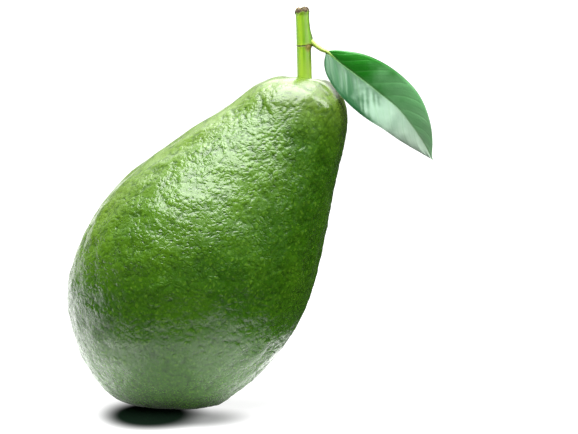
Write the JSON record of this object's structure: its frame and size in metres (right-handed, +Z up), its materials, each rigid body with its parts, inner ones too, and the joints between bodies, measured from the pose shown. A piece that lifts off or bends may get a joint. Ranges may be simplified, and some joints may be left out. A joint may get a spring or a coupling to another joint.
{
  "type": "avocado",
  "caption": "Whole pear-shaped green avocado with pebbled skin, a short cut stem and a folded leaf, leaning on a small flat spot.",
  "frame": {"origin": "on the surface that the fruit stands on, in the middle of its small flat spot", "axes": "+Z up, +X towards the side that the neck leans to and the leaf points to, -Y towards the viewer"},
  "size_m": [0.1168, 0.0716, 0.1271],
  "materials": {
    "skin": "glossy pebbled green skin",
    "twig": "smooth fresh green bark",
    "foliage": "glossy leaf"
  },
  "bodies": {
    "root": {"fruit": "skin", "stem": "twig", "leaf": "foliage"}
  },
  "joints": []
}
